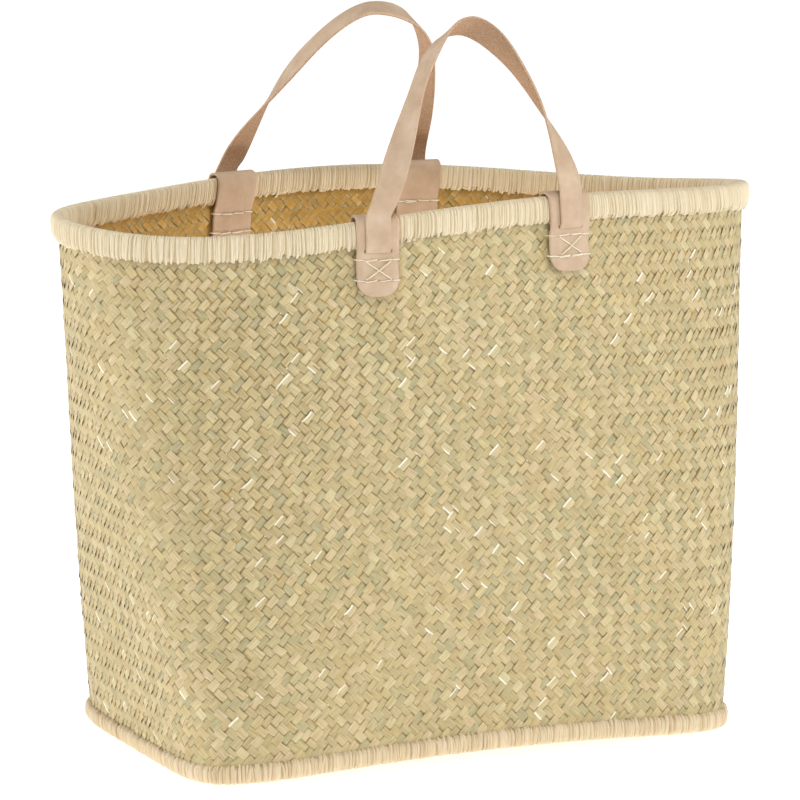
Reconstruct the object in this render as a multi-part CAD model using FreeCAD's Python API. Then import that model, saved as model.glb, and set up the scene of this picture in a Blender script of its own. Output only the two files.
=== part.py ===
"""Woven market basket with two leather handles.

Millimetres, +Z up. The origin is on the floor under the middle of the basket, +X runs along the long
side and -Y is the front. Each sub-part is a solid of its own, written to parts/NODE.step.
"""

import FreeCAD, Part
import math
import os

from FreeCAD import Rotation, Vector

# The plaited body: half sizes are to the middle of the wall's thickness.
WALL_HEIGHT = 440.0
WALL_THICKNESS = 2.0
BASE_HALF_LENGTH = 241.0
BASE_HALF_WIDTH = 150.0
BASE_SQUARENESS = 6.5
MOUTH_HALF_LENGTH = 305.0
MOUTH_HALF_WIDTH = 127.0
MOUTH_SQUARENESS = 1.9
BELLY_LENGTH = 1.7
BELLY_WIDTH = 3.0

# The soft body leans back a little, so the mouth lies this far behind the base.
MOUTH_SHIFT = 5.0

# The rim isn't level: it dips towards both ends and sags at the front left and the back right.
RIM_END_DIP = 5.8
RIM_SIDE_TILT = -1.3
RIM_FRONT_RISE = 0.8
RIM_SAG = 5.5
RIM_THIRD_WAVE = 2.1
RIM_FOURTH_WAVE = 2.8

# The base arches up between the two ends that it stands on.
BASE_ARCH = 11.0
FOOT_FLAT = 0.5

# Rim: two hoops clamp the wall's edge inside a raffia binding.
HOOP_THICKNESS = 2.5
HOOP_TOP_DEPTH = 3.3
HOOP_BOTTOM_DEPTH = 18.1
HOOP_WALL_GAP = 0.4
WALL_TOP_DEPTH = 3.4

# Base: a bundle runs round the corner, and the wall and the panel stand on it.
WALL_FOOT_HEIGHT = 6.8
PANEL_THICKNESS = 2.4
PANEL_INSET = 1.6

# Leather tabs and handle straps.
TAB_THICKNESS = 2.2
TAB_DROP = 59.0
TAB_CORNER_RADIUS = 13.0
TAB_RIM_ROOM = 1.8
TAB_INNER_STAND_OFF = 1.9
SLIT_DEPTH = 23.8
SLIT_HEIGHT = 3.6
SLIT_WIDTH = 23.0
STRAP_WIDTH = 20.0
STRAP_THICKNESS = 2.4
STRAP_END_DEPTH = 54.0
STRAP_STAND_OFF = 9.8
DROP_HINGE_STAND_OFF = 10.4
DROP_HINGE_DEPTH = 22.0
LEAN_HINGE_RISE = 4.4
HINGE_CLEARANCE = 1.5

# Each handle has two tabs, cut by hand: where they lie along X, and their widths. Its loop has the crown's
# height over the lean hinge, its lean towards the middle of the basket and its place along X, how upright
# each arm stands, from 1 for a slant to 2 and more, and an extra roll of the strap, in degrees, that is
# largest midway between two angles of the loop.
FRONT_HANDLE = {
    "tab_x": (-89.0, 77.0), "tab_widths": (34.0, 37.0), "height": 134.0, "lean": 54.0, "crown_x": 9.6,
    "arms": (0.8, 1.28), "roll": 56.0, "roll_span": (64.0, 134.0),
}
BACK_HANDLE = {
    "tab_x": (-104.5, 67.5), "tab_widths": (37.0, 36.0), "height": 138.6, "lean": 88.0, "crown_x": -14.7,
    "arms": (0.8, 3.2), "roll": 28.0, "roll_span": (62.0, 152.0),
}
LEAN_POWER = 1.5
LEVEL_FOOT = 0.12
TWIST_HEIGHT = 0.72
LOOP_SECTIONS = 40

# Stitching.
THREAD_DIAMETER = 1.2
UPPER_ROW_DEPTH = 30.6
LOWER_ROW_DEPTH = 46.8
STITCH_HOLE_SPACING = 11.5

AROUND = 64


# ---------------------------------------------------------------- the basket's surface

def blend(start, end, share):
    return start + (end - start) * share


def plan_point(psi, height):
    """Unit-free place on the outline at a height from 0 to 1: x/a, y/b and the half sizes."""
    squareness = BASE_SQUARENESS * (MOUTH_SQUARENESS / BASE_SQUARENESS) ** height
    belly = math.sin(math.pi * min(max(height, 0.0), 1.0))
    half_length = blend(BASE_HALF_LENGTH, MOUTH_HALF_LENGTH, height) + BELLY_LENGTH * belly
    half_width = blend(BASE_HALF_WIDTH, MOUTH_HALF_WIDTH, height) + BELLY_WIDTH * belly
    c = math.cos(psi)
    s = math.sin(psi)
    reach = (abs(c) ** squareness + abs(s) ** squareness) ** (-1.0 / squareness)
    return c * reach, s * reach, half_length, half_width, squareness


def base_height(u):
    return BASE_ARCH * (1.0 - min(1.0, u * u))


def rim_height(psi, u, v):
    level = WALL_HEIGHT - RIM_SIDE_TILT * u - RIM_END_DIP * (2.0 * u * u - 1.0) - RIM_FRONT_RISE * v
    waves = RIM_FOURTH_WAVE * math.cos(4.0 * psi) - RIM_THIRD_WAVE * math.cos(3.0 * psi)
    return level + waves - RIM_SAG * math.sin(2.0 * psi)


def wall_frame(psi, height):
    """Point on the middle of the wall and the outward normal in plan."""
    u, v, half_length, half_width, squareness = plan_point(psi, height)
    low = base_height(u)
    high = rim_height(psi, u, v)
    power = squareness - 1.0
    nx = math.copysign(abs(u) ** power, u) / half_length
    ny = math.copysign(abs(v) ** power, v) / half_width
    normal = Vector(nx, ny, 0)
    normal.normalize()
    y = v * half_width + MOUTH_SHIFT * height
    return Vector(u * half_length, y, blend(low, high, height)), normal


def surface_point(psi, height, stand_off):
    point, normal = wall_frame(psi, height)
    return point + normal * stand_off


def rim_point(psi, depth, stand_off):
    """Point a given depth under the rim's top edge, stood off the middle of the wall."""
    return surface_point(psi, 1.0 - depth / WALL_HEIGHT, stand_off)


def base_point(psi, rise, stand_off):
    """Point a given rise over the basket's lower edge."""
    return surface_point(psi, rise / WALL_HEIGHT, stand_off)


def loop_edge(point_at):
    points = []
    for i in range(AROUND):
        points.append(point_at(2.0 * math.pi * (i + 0.5) / AROUND))
    curve = Part.BSplineCurve()
    curve.interpolate(Points=points, PeriodicFlag=True)
    return curve.toShape()


def ring(section, place):
    """Closed solid that carries a section, a list of (rise or depth, stand-off), round the basket."""
    edges = []
    for along, stand_off in section:
        edges.append(loop_edge(lambda psi: place(psi, along, stand_off)))
    faces = []
    for i, edge in enumerate(edges):
        faces.append(Part.makeRuledSurface(edge, edges[(i + 1) % len(edges)]))
    shell = Part.makeShell(faces)
    shell.sewShape()
    solid = Part.makeSolid(shell)
    if solid.Volume < 0:
        solid.reverse()
    return solid


# ---------------------------------------------------------------- plaited body and bindings

def wall_plait():
    half = WALL_THICKNESS / 2.0
    top = WALL_HEIGHT - WALL_TOP_DEPTH
    levels = 8
    outside = []
    inside = []
    for i in range(levels + 1):
        rise = blend(WALL_FOOT_HEIGHT, top, i / levels)
        outside.append((rise, half))
        inside.append((rise, -half))
    return ring(outside + inside[::-1], base_point)


def arch_height(x):
    return base_height(x / BASE_HALF_LENGTH)


def arch_edge(rise, reach):
    points = []
    steps = 24
    for i in range(steps + 1):
        x = blend(-reach, reach, i / steps)
        points.append(Vector(x, 0, arch_height(x) + rise))
    curve = Part.BSplineCurve()
    curve.interpolate(points)
    return curve.toShape()


def base_plait():
    """Panel that follows the base's arch, cut to the outline inside the wall."""
    reach = BASE_HALF_LENGTH + 10.0
    low = arch_edge(WALL_FOOT_HEIGHT, reach)
    high = arch_edge(WALL_FOOT_HEIGHT + PANEL_THICKNESS, reach)
    left = Part.makeLine(low.Vertexes[0].Point, high.Vertexes[0].Point)
    right = Part.makeLine(low.Vertexes[-1].Point, high.Vertexes[-1].Point)
    profile = Part.Face(Part.Wire([low, right, high, left]))
    depth = 2.0 * BASE_HALF_WIDTH + 20.0
    profile.translate(Vector(0, -depth / 2.0, 0))
    plate = profile.extrude(Vector(0, depth, 0))
    rise = WALL_FOOT_HEIGHT / WALL_HEIGHT

    def flat_outline(psi):
        point = surface_point(psi, rise, -PANEL_INSET)
        return Vector(point.x, point.y, 0)

    outline = Part.Face(Part.Wire([loop_edge(flat_outline)]))
    return plate.common(outline.extrude(Vector(0, 0, 60)))


def hoop(inner, outer):
    section = [(HOOP_TOP_DEPTH, inner), (HOOP_TOP_DEPTH, outer), (HOOP_BOTTOM_DEPTH, outer),
               (HOOP_BOTTOM_DEPTH, inner)]
    return ring(section, rim_point)


def rim_outer_band():
    inner = WALL_THICKNESS / 2.0 + HOOP_WALL_GAP
    return hoop(inner, inner + HOOP_THICKNESS)


def rim_inner_band():
    inner = WALL_THICKNESS / 2.0 + HOOP_WALL_GAP
    return hoop(-inner - HOOP_THICKNESS, -inner)


def rim_wrap():
    """Raffia binding: a rounded cover over both hoops, open underneath for the wall."""
    cover = [(20.5, 1.5), (19.0, 5.0), (12.0, 5.6), (5.0, 5.6), (1.3, 4.3), (0.0, 1.6)]
    room = [(18.6, 1.3), (18.6, 4.3), (2.9, 4.3)]
    other_cover = [(depth, -stand_off) for depth, stand_off in cover[::-1]]
    other_room = [(depth, -stand_off) for depth, stand_off in room]
    return ring(cover + other_cover + other_room + room[::-1], rim_point)


def base_cord():
    section = [(6.4, -3.6), (6.4, 2.0), (4.0, 2.7), (1.8, 1.8), (1.8, -3.6), (4.0, -4.3)]
    return ring(section, base_point)


def base_wrap():
    """Raffia binding round the bottom corner, flat where the basket stands."""
    section = [(16.0, 1.3), (14.5, 3.6), (8.0, 4.6), (3.0, 4.4), (0.6, 2.8), (0.0, 0.0), (0.0, -5.0),
               (0.8, -9.0), (6.3, -9.5), (6.3, -4.6), (1.4, -4.6), (1.4, 3.0), (6.8, 3.0), (8.4, 1.3)]

    def lowered(psi, rise, stand_off):
        return base_point(psi, rise, stand_off) - Vector(0, 0, FOOT_FLAT)

    below = Part.makeBox(800, 500, 50, Vector(-400, -250, -50))
    return ring(section, lowered).cut(below)


# ---------------------------------------------------------------- leather tabs, straps and stitching

def rim_angle(x, side):
    """Angle on the outline where the rim passes a given x; side is -1 in front and 1 at the back."""
    low = 0.0
    high = math.pi
    for _ in range(50):
        middle = (low + high) / 2.0
        if rim_point(middle * side, 0.0, 0.0).x > x:
            low = middle
        else:
            high = middle
    return low * side


class Station:
    """Upright frame at one tab: x along the rim, y outwards from the wall's middle, z up."""

    def __init__(self, name, side, x, width):
        self.name = name
        self.side = side
        self.width = width
        psi = rim_angle(x, side)
        _, self.out = wall_frame(psi, 1.0)
        self.psi = psi
        self.top = rim_point(psi, 0.0, 0.0)
        self.angle = math.degrees(math.atan2(self.out.y, self.out.x)) - 90.0

    def place(self, shape):
        placed = shape.copy()
        placed.Placement = FreeCAD.Placement(self.top, Rotation(Vector(0, 0, 1), self.angle))
        return placed

    def drift(self, depth):
        """How far the wall has moved outwards at a depth under the rim."""
        return (rim_point(self.psi, max(depth, 0.0), 0.0) - self.top).dot(self.out)

    def point(self, along, stand_off, depth):
        tangent = Vector(self.out.y, -self.out.x, 0)
        away = self.out * (stand_off + self.drift(depth))
        return self.top + tangent * along + away - Vector(0, 0, depth)


def profile_plate(station, outline, width):
    """Plate of a given width from an outline of (stand-off, depth) points that follow the wall."""
    points = []
    for stand_off, depth in outline:
        points.append(Vector(-width / 2.0, stand_off + station.drift(depth), -depth))
    face = Part.Face(Part.makePolygon(points + points[:1]))
    return face.extrude(Vector(width, 0, 0))


def corner_tool(hand, width):
    """What is cut away to round one lower corner of a tab's outer leg."""
    radius = TAB_CORNER_RADIUS
    edge = hand * width / 2.0
    centre = Vector(edge - hand * radius, 0, -TAB_DROP + radius)
    corner = Vector(min(centre.x, centre.x + hand * (radius + 1)), 2, centre.z - radius - 1)
    block = Part.makeBox(radius + 1, 20, radius + 1, corner)
    disc = Part.makeCylinder(radius, 30, centre, Vector(0, 1, 0))
    return block.cut(disc)


def tab(station):
    t = TAB_THICKNESS
    top = -TAB_RIM_ROOM
    near = -TAB_INNER_STAND_OFF
    outline = [(4.3, TAB_DROP), (4.3 + t, TAB_DROP), (4.3 + t, 27.0), (6.1 + t, 19.0), (6.1 + t, 1.0),
               (4.4 + t, top - 1.1), (0.0, top - t), (-4.4 - t, top - 1.1), (-6.1 - t, 1.0),
               (-6.1 - t, 19.0), (near - t, 27.0), (near - t, TAB_DROP), (near, TAB_DROP), (near, 28.0),
               (-6.1, 20.0), (-6.1, 1.2), (-4.7, top + 0.6), (0.0, top), (4.7, top + 0.6), (6.1, 1.2),
               (6.1, 20.0), (4.3, 28.0)]
    leather = profile_plate(station, outline, station.width)
    slit = Part.makeBox(SLIT_WIDTH, 20, SLIT_HEIGHT,
                        Vector(-SLIT_WIDTH / 2.0, 1.5, -SLIT_DEPTH - SLIT_HEIGHT / 2.0))
    leather = leather.cut([slit, corner_tool(-1, station.width), corner_tool(1, station.width)])
    return station.place(leather)


def strap_end(station):
    """The strap's sewn end: behind the tab, and out through the slit."""
    near = WALL_THICKNESS / 2.0 + 0.4
    far = near + STRAP_THICKNESS
    outline = [(near, STRAP_END_DEPTH), (far, STRAP_END_DEPTH), (far, 25.6), (7.8, 24.8), (7.8, 22.8),
               (near, 23.4)]
    return station.place(profile_plate(station, outline, STRAP_WIDTH))


def strap_root(station):
    """The short stretch between the two bends, lying over the tab from the slit to the rim's top."""
    near = STRAP_STAND_OFF - STRAP_THICKNESS / 2.0
    far = STRAP_STAND_OFF + STRAP_THICKNESS / 2.0
    low = DROP_HINGE_DEPTH - HINGE_CLEARANCE
    high = -LEAN_HINGE_RISE + HINGE_CLEARANCE
    outline = [(near, low), (far, low), (far, high), (near, high)]
    return station.place(profile_plate(station, outline, STRAP_WIDTH))


def smooth(share):
    share = min(max(share, 0.0), 1.0)
    return share * share * (3.0 - 2.0 * share)


def loop_height_share(phi, power):
    return max(0.0, math.sin(phi)) ** (2.0 / power)


def loop_centre(phi, left, right, shape):
    """Middle of the strap; phi runs from 0 at the left foot to 180 degrees at the right foot."""
    c = math.cos(phi)
    power = shape["arms"][0] if c > 0 else shape["arms"][1]
    share = loop_height_share(phi, power)
    start_left = left.point(0.0, STRAP_STAND_OFF, -LEAN_HINGE_RISE)
    start_right = right.point(0.0, STRAP_STAND_OFF, -LEAN_HINGE_RISE)
    start = start_left if c > 0 else start_right
    x = blend(shape["crown_x"], start.x, abs(c))
    foot_y = blend(start_left.y, start_right.y, (1.0 - c) / 2.0)
    y = foot_y - left.side * shape["lean"] * share ** LEAN_POWER
    foot_z = blend((start_left.z + start_right.z) / 2.0, start.z, abs(c) ** 8)
    return Vector(x, y, foot_z + shape["height"] * share), share


def extra_roll(phi, shape):
    """How much further than a quarter turn the strap has rolled at an angle of the loop."""
    start, end = shape["roll_span"]
    share = (math.degrees(phi) - start) / (end - start)
    if share <= 0.0 or share >= 1.0:
        return 0.0
    return math.radians(shape["roll"]) * math.sin(math.pi * share) ** 2


def loop_section(phi, left, right, shape):
    """Rectangle across the strap: flat on the basket at the feet, turned over towards the crown."""
    step = 0.01
    centre, share = loop_centre(phi, left, right, shape)
    before, _ = loop_centre(phi - step, left, right, shape)
    after, _ = loop_centre(phi + step, left, right, shape)
    along = after - before
    along.normalize()
    upright = Vector(0, 0, math.copysign(1.0, math.cos(phi)))
    along = upright + (along - upright) * smooth(share / LEVEL_FOOT)
    along.normalize()
    foot = left if math.cos(phi) > 0 else right
    side_way = Vector(0, -left.side, 0)
    radial = along.cross(side_way)
    radial.normalize()
    if radial.z < 0:
        radial = radial * -1.0
    turn = math.pi / 2.0 * smooth(share / TWIST_HEIGHT) + extra_roll(phi, shape)
    grain = foot.out * math.cos(turn) + radial * math.sin(turn)
    grain = grain - along * grain.dot(along)
    grain.normalize()
    across = grain.cross(along) * (STRAP_WIDTH / 2.0)
    deep = grain * (STRAP_THICKNESS / 2.0)
    outer = [centre + across + deep, centre - across + deep]
    inner = [centre - across - deep, centre + across - deep]
    return Part.makePolygon(outer + inner + outer[:1])


def strap_loop(left, right, shape):
    clear_share = HINGE_CLEARANCE / shape["height"]
    first = math.asin(clear_share ** (shape["arms"][0] / 2.0))
    last = math.pi - math.asin(clear_share ** (shape["arms"][1] / 2.0))
    sections = []
    for i in range(LOOP_SECTIONS + 1):
        phi = blend(first, last, i / LOOP_SECTIONS)
        sections.append(loop_section(phi, left, right, shape))
    return Part.makeLoft(sections, True, True)


def thread(station, start, end, stand_off):
    """One straight stitch between two (along, depth) places, lying on the leather."""
    a = station.point(start[0], stand_off, start[1])
    b = station.point(end[0], stand_off, end[1])
    return Part.makeCylinder(THREAD_DIAMETER / 2.0, (b - a).Length, a, b - a)


def row_stitches(station, depth, stand_off):
    gap = 0.8
    half = station.width / 2.0
    places = [-half - 1.0, -STITCH_HOLE_SPACING, 0.0, STITCH_HOLE_SPACING, half + 1.0]
    stitches = []
    for start, end in zip(places[:-1], places[1:]):
        stitches.append(thread(station, (start + gap, depth), (end - gap, depth), stand_off))
    return Part.makeCompound(stitches)


def cross_stitches(station, stand_off):
    clear = THREAD_DIAMETER / 2.0 + 0.8
    high = UPPER_ROW_DEPTH + clear
    low = LOWER_ROW_DEPTH - clear
    half = STITCH_HOLE_SPACING
    lift = THREAD_DIAMETER + 0.1
    under = thread(station, (-half, high), (half, low), stand_off)
    over = thread(station, (half, high), (-half, low), stand_off + lift)
    return Part.makeCompound([under, over])


# ---------------------------------------------------------------- assembly

def save(shape, node):
    os.makedirs("parts", exist_ok=True)
    shape.exportStep(os.path.join("parts", node + ".step"))


def build():
    save(wall_plait(), "wall_plait")
    save(base_plait(), "base_plait")
    save(rim_outer_band(), "rim_outer_band")
    save(rim_inner_band(), "rim_inner_band")
    save(rim_wrap(), "rim_wrap")
    save(base_cord(), "base_cord")
    save(base_wrap(), "base_wrap")
    outside = 4.3 + TAB_THICKNESS + THREAD_DIAMETER / 2.0 + 0.1
    inside = -TAB_INNER_STAND_OFF - TAB_THICKNESS - THREAD_DIAMETER / 2.0 - 0.1
    for side_name, side, shape in (("front", -1, FRONT_HANDLE), ("back", 1, BACK_HANDLE)):
        left = Station(side_name + "_left", side, shape["tab_x"][0], shape["tab_widths"][0])
        right = Station(side_name + "_right", side, shape["tab_x"][1], shape["tab_widths"][1])
        for station in (left, right):
            save(tab(station), station.name + "_tab")
            save(strap_end(station), station.name + "_strap_end")
            save(strap_root(station), station.name + "_strap_root")
            save(row_stitches(station, UPPER_ROW_DEPTH, outside), station.name + "_upper_stitches")
            save(cross_stitches(station, outside), station.name + "_cross_stitches")
            save(row_stitches(station, LOWER_ROW_DEPTH, outside), station.name + "_lower_stitches")
            rows = [row_stitches(station, depth, inside) for depth in (UPPER_ROW_DEPTH, LOWER_ROW_DEPTH)]
            save(Part.makeCompound(rows), station.name + "_inner_stitches")
        save(strap_loop(left, right, shape), side_name + "_strap_loop")
        for station in (left, right):
            drop = station.point(0.0, DROP_HINGE_STAND_OFF, DROP_HINGE_DEPTH)
            lean = station.point(0.0, STRAP_STAND_OFF, -LEAN_HINGE_RISE)
            print(station.name, "drop", drop, "lean", lean, "angle", round(station.angle, 2))


build()
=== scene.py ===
"""Looks of the woven market basket: plaited palm strips, raffia bindings, leather tabs and straps."""
import math

import bpy
import numpy as np
from mathutils import Matrix, Vector


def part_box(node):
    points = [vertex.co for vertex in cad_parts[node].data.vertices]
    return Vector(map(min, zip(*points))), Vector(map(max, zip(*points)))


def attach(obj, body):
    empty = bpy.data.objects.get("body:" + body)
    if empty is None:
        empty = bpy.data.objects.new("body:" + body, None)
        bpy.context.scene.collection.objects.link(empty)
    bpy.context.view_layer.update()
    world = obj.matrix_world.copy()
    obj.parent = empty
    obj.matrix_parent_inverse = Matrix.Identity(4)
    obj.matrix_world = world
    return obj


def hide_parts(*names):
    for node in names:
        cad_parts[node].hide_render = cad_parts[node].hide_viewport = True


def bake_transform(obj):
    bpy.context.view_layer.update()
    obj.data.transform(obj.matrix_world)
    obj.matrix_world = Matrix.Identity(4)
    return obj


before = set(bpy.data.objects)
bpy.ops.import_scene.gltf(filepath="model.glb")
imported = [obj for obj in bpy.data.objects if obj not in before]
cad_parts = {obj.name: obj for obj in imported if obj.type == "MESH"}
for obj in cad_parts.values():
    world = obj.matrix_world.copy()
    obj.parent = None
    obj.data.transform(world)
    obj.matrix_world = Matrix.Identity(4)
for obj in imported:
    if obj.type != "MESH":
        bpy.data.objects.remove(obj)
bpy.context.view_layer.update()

MM = 0.001

# ---- shape of the body

rim_low, rim_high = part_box("rim_wrap")
foot_low, foot_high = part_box("base_wrap")

# How far the bindings' boxes reach beyond the middle of the wall.
RIM_END_REACH = 4.85 * MM
RIM_SIDE_REACH = 6.45 * MM
RIM_TOP_REACH = 11.77 * MM
FOOT_END_REACH = 5.88 * MM
FOOT_SIDE_REACH = 4.36 * MM

# The middle of the wall: half sizes and height, taken from those boxes.
MOUTH_HALF_LENGTH = (rim_high.x - rim_low.x) / 2.0 - RIM_END_REACH
MOUTH_HALF_WIDTH = (rim_high.y - rim_low.y) / 2.0 - RIM_SIDE_REACH
BASE_HALF_LENGTH = foot_high.x - FOOT_END_REACH
BASE_HALF_WIDTH = (foot_high.y - foot_low.y) / 2.0 - FOOT_SIDE_REACH
WALL_HEIGHT = rim_high.z - RIM_TOP_REACH

# Powers of the outlines' superellipses, the belly, and the waves of the rim and the base.
BASE_SQUARENESS = 6.5
MOUTH_SQUARENESS = 1.9
BELLY_LENGTH = 1.7 * MM
BELLY_WIDTH = 3.0 * MM
MOUTH_SHIFT = 5.0 * MM
RIM_END_DIP = 5.8 * MM
RIM_SIDE_TILT = -1.3 * MM
RIM_FRONT_RISE = 0.8 * MM
RIM_SAG = 5.5 * MM
RIM_THIRD_WAVE = 2.1 * MM
RIM_FOURTH_WAVE = 2.8 * MM
BASE_ARCH = 11.0 * MM

# ---- plait and bindings, sizes

# Strips each way round the wall, rows of crossings up it, and the strips themselves.
STRIPS_EACH_WAY = 180
CROSSING_ROWS = 110
STEPS_PER_ROW = 4
STRIP_HALF_WIDTH = 3.3 * MM
PLAIT_DEPTH = 0.4 * MM
STRIP_PIECES = 3

# Every second strip lies a little higher and is a little wider than its neighbours.
UPPER_STRIP_LIFT = 0.13 * MM
UPPER_STRIP_WIDER = 0.06

# Strips wander sideways: waves in the wall's height, and their reach in strip pitches.
WANDER_WAVES = ((3, 0.05), (8, 0.05), (17, 0.045), (31, 0.03))

# How much strips differ, and the floats where they lie over two others.
FLOAT_LIFT_SPREAD = 0.14
STRIP_TILT_SPREAD = 0.03
FLOAT_TILT_SPREAD = 0.045
STRIP_WIDTH_SPREAD = 0.05
FLOAT_WIDTH_SPREAD = 0.04

# The bottom panel: height over the arch, gap to the wall, pitch, and strips on each side of the middle.
PANEL_RISE = 8.0 * MM
PANEL_GAP = 2.0 * MM
PANEL_PITCH = 8.0 * MM
PANEL_STEPS = 3
PANEL_REACH = 100

# Steps between the noise of one strip or strand and the next.
STRIP_GRAIN_STEP = 3.7
STRAND_GRAIN_STEP = 5.3

# The arc is a strand's way round the section: two angles and a number of points; turn reverses it.
# Slant, jitter and width are in strand pitches. Pairs are (mean, spread).
WAY_ROUND = 1.44
RIM_MIDDLE_DEPTH = 10.2 * MM
FOOT_MIDDLE_RISE = 8.1 * MM
RIM_BINDING = {
    "strands": 840, "arc": (-80.0, 260.0, 26), "turn": 1, "phase": 0.5, "power": 2.9,
    "half_height": 10.4 * MM, "half_thickness": (5.45 * MM, 0.045), "stand_off": 0.0,
    "slant": (0.6, 0.6), "jitter": 0.2, "width": (1.08, 0.16),
    "ragged": lambda s: s < 0.2,
    "height": lambda up: 1.0 - (RIM_MIDDLE_DEPTH - up) / WALL_HEIGHT,
}
FOOT_BINDING = {
    "strands": 700, "arc": (84.0, -172.0, 22), "turn": -1, "phase": 0.0, "power": 2.7,
    "half_height": 7.9 * MM, "half_thickness": (6.9 * MM, 0.05), "stand_off": -2.3 * MM,
    "slant": (0.3, 0.8), "jitter": 0.3, "width": (1.3, 0.25),
    "ragged": lambda s: s > 0,
    "height": lambda up: (FOOT_MIDDLE_RISE + up) / WALL_HEIGHT,
}
RAGGED_SPREAD = 0.08
LEAST_STRAND_HALF_WIDTH = 0.7 * MM
UNDER_LAYER_INSET = 0.8 * MM

# ---- leather and thread, sizes

# Paths are (stand-off from the wall's middle, depth under the rim).
# The tab runs from its outer end over the rim to its inner end.
TAB_PATH = np.array([
    (5.4, 59.0), (5.4, 44.0), (5.5, 30.0), (6.6, 22.0), (7.2, 14.0), (7.2, 6.0),
    (6.6, 0.2), (3.6, -2.3), (0.0, -2.9), (-3.6, -2.3), (-6.6, 0.2),
    (-7.2, 6.0), (-7.2, 14.0), (-5.6, 22.0), (-3.2, 30.0), (-3.0, 44.0), (-3.0, 59.0),
]) * MM
# A strap's end runs from behind the tab out through the slit and up over the tab to the lean bend.
STRAP_END_PATH = np.array([
    (2.65, 54.0), (2.65, 44.0), (2.8, 33.0), (3.9, 27.6), (6.4, 24.4),
    (8.9, 21.6), (9.8, 17.0), (9.8, 9.0), (9.8, 2.0), (9.8, -4.4),
]) * MM
TAB_THICKNESS = 2.2 * MM
TAB_CORNER = 13.0 * MM
TAB_TIP_SHRINK = 1.5 * MM
# The outer leg bulges over the strap's end and is pressed down beside it, below PRESS_TOP.
PRESS = 1.5 * MM
PRESS_FROM = 10.5 * MM
PRESS_OVER = 6.0 * MM
PRESS_TOP = 24.0 * MM
PRESS_FADE = 10.0 * MM

STRAP_HALF_WIDTH = 10.0 * MM
STRAP_COLUMNS = STRAP_HALF_WIDTH * np.concatenate([
    [-1.0, -0.95, -0.86], np.linspace(-0.7, 0.7, 8), [0.86, 0.95, 1.0]])
STRAP_THICKNESS = 2.4 * MM
STRAP_STAND_OFF = 9.8 * MM
LEAN_RISE = 4.4 * MM
# Where the sewn tail ends and the long strap begins, as a depth under the rim.
SPLIT_DEPTH = 9.0 * MM
# The line of the drop bend at the slit, as a stand-off and a depth under the rim.
DROP_STAND_OFF = 10.4 * MM
DROP_DEPTH = 22.0 * MM

# Left and right set how full a loop's arms are. The roll turns the strap about its own line between two
# angles round the loop, in degrees.
LOOPS = {
    "front": {"side": -1, "height": 134.0 * MM, "lean": 54.0 * MM, "crown_x": 9.6 * MM, "left": 0.8,
              "right": 1.28, "tab_widths": (34.0 * MM, 37.0 * MM), "roll": 56.0, "roll_span": (64.0, 134.0)},
    "back": {"side": 1, "height": 138.6 * MM, "lean": 88.0 * MM, "crown_x": -14.7 * MM, "left": 0.8,
             "right": 3.2, "tab_widths": (37.0 * MM, 36.0 * MM), "roll": 28.0, "roll_span": (62.0, 152.0)},
}
LEAN_POWER = 1.5
FOOT_HEIGHT_POWER = 8
TWIST_HEIGHT = 0.72
LEVEL_FOOT = 0.12

THREAD_RADIUS = 0.62 * MM
THREAD_SIDES = 7
THREAD_FLATNESS = 0.75
THREAD_TWIST = 0.25
STITCH_STEPS = 15
STITCH_LIFT = 0.35 * MM
STITCH_DIP = 1.6 * MM
STITCH_DIP_SHARE = 0.09
DOUBLE_STITCH_SHARE = 0.45
# Stand-off of a thread that lies on the plait beside a tab.
PLAIT_FACE = 1.6 * MM
UPPER_ROW = 30.6 * MM
LOWER_ROW = 46.8 * MM
HOLE_SPACING = 11.5 * MM
HOLE_PLACES = (-HOLE_SPACING, 0.0, HOLE_SPACING)
HOLE_HALF = 0.8 * MM
SLIT_HALF_WIDTH = 11.5 * MM
SLIT_TOP = 22.4 * MM
SLIT_BOTTOM = 25.0 * MM

# ---- light and camera, figures

FLOOR_HALF = 40.0
FLOOR_GLOW = 0.8
WORLD_STRENGTH = 0.28
# Lamps: name, place, target, size in metres and power in watts.
LAMPS = (
    ("left", (-2.6, 0.9, 1.2), (0.0, 0.0, 0.25), 1.4, 30.0),
    ("right", (2.7, -1.9, 1.5), (0.0, 0.0, 0.25), 1.2, 33.0),
    ("top", (-0.2, -1.3, 2.7), (0.0, 0.1, 0.4), 1.0, 28.0),
)
# A small lamp in the basket stands in for light that comes through the plait.
INSIDE_LAMP = ("inside", (0.0, 0.0, 0.1), (0.0, 0.04, 0.45), 0.14, 0.85)
CAMERA_AZIMUTH = -26.11
CAMERA_ELEVATION = 11.33
CAMERA_ROLL = 0.59
CAMERA_DISTANCE = 4.0
CAMERA_LENS = 219.0
CAMERA_CENTRE = (0.0, 0.005, 0.22)
AIM_LEFT = 0.00546
AIM_ABOVE = 0.04916

UP = np.array([0.0, 0.0, 1.0])


def rng(seed):
    return np.random.default_rng(seed)


def unit(vectors):
    return vectors / np.maximum(np.linalg.norm(vectors, axis=-1, keepdims=True), 1e-12)


def smooth(share):
    share = np.clip(share, 0.0, 1.0)
    return share * share * (3.0 - 2.0 * share)


# ---- the basket's surface

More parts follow.
